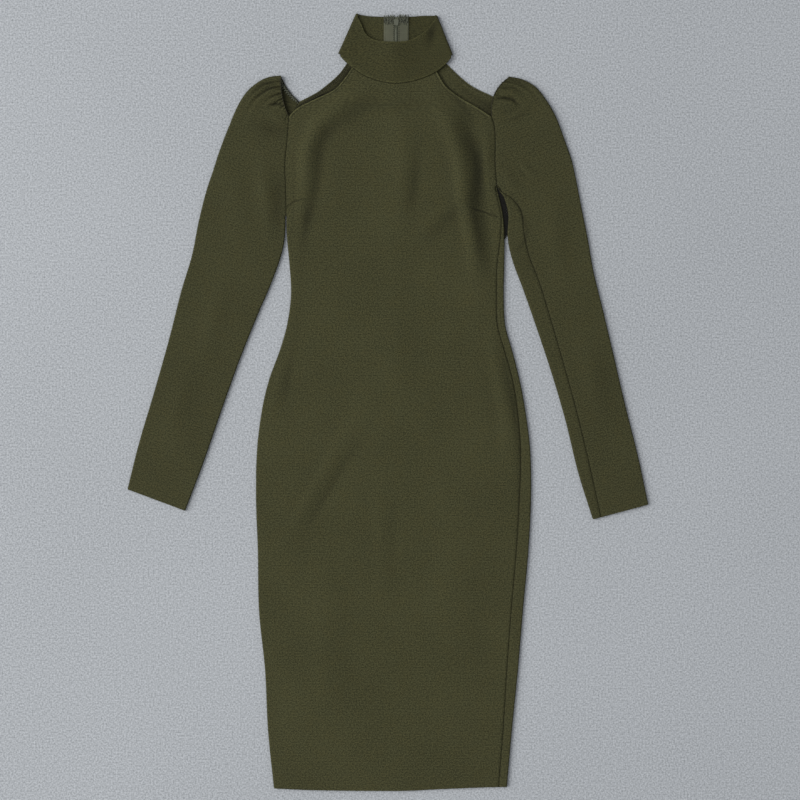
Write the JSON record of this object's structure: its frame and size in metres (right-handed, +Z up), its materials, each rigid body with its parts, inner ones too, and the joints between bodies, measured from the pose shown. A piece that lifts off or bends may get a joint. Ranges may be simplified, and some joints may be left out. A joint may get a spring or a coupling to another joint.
{
  "type": "bodycon dress",
  "caption": "Long-sleeved knee-length bodycon dress with a high collar, shoulder cut-outs and gathered sleeve caps, laid flat.",
  "frame": {"origin": "on the surface the dress lies on, below the middle of its outline", "axes": "+Y from the hem to the neck, +Z up out of the dress's front, +X to the right as seen from above"},
  "size_m": [0.7378, 1.1004, 0.0094],
  "materials": {
    "cloth": "dense fine-ribbed bandage knit, matt with a slight sheen",
    "collar_cloth": "the same knit, doubled",
    "zip_tape": "woven zip tape, a lighter sage green",
    "zip_coil": "nylon coil",
    "zip_metal": "painted die-cast metal"
  },
  "bodies": {
    "garment": {"front_panel": "cloth", "back_left": "cloth", "back_right": "cloth", "sleeve_left": "cloth", "sleeve_right": "cloth", "collar": "collar_cloth", "zip_tape_left": "zip_tape", "zip_tape_right": "zip_tape", "zip_coil": "zip_coil", "zip_slider": "zip_metal"},
    "pull_tab": {"zip_pull": "zip_metal"}
  },
  "joints": [
    {"name": "pull_tab_hinge", "type": "hinge", "parent": "garment", "child": "pull_tab", "pos_m": [0.0117, 0.53663, 0.0016], "axis": [1, 0, 0], "range_deg": [0, 180]}
  ]
}
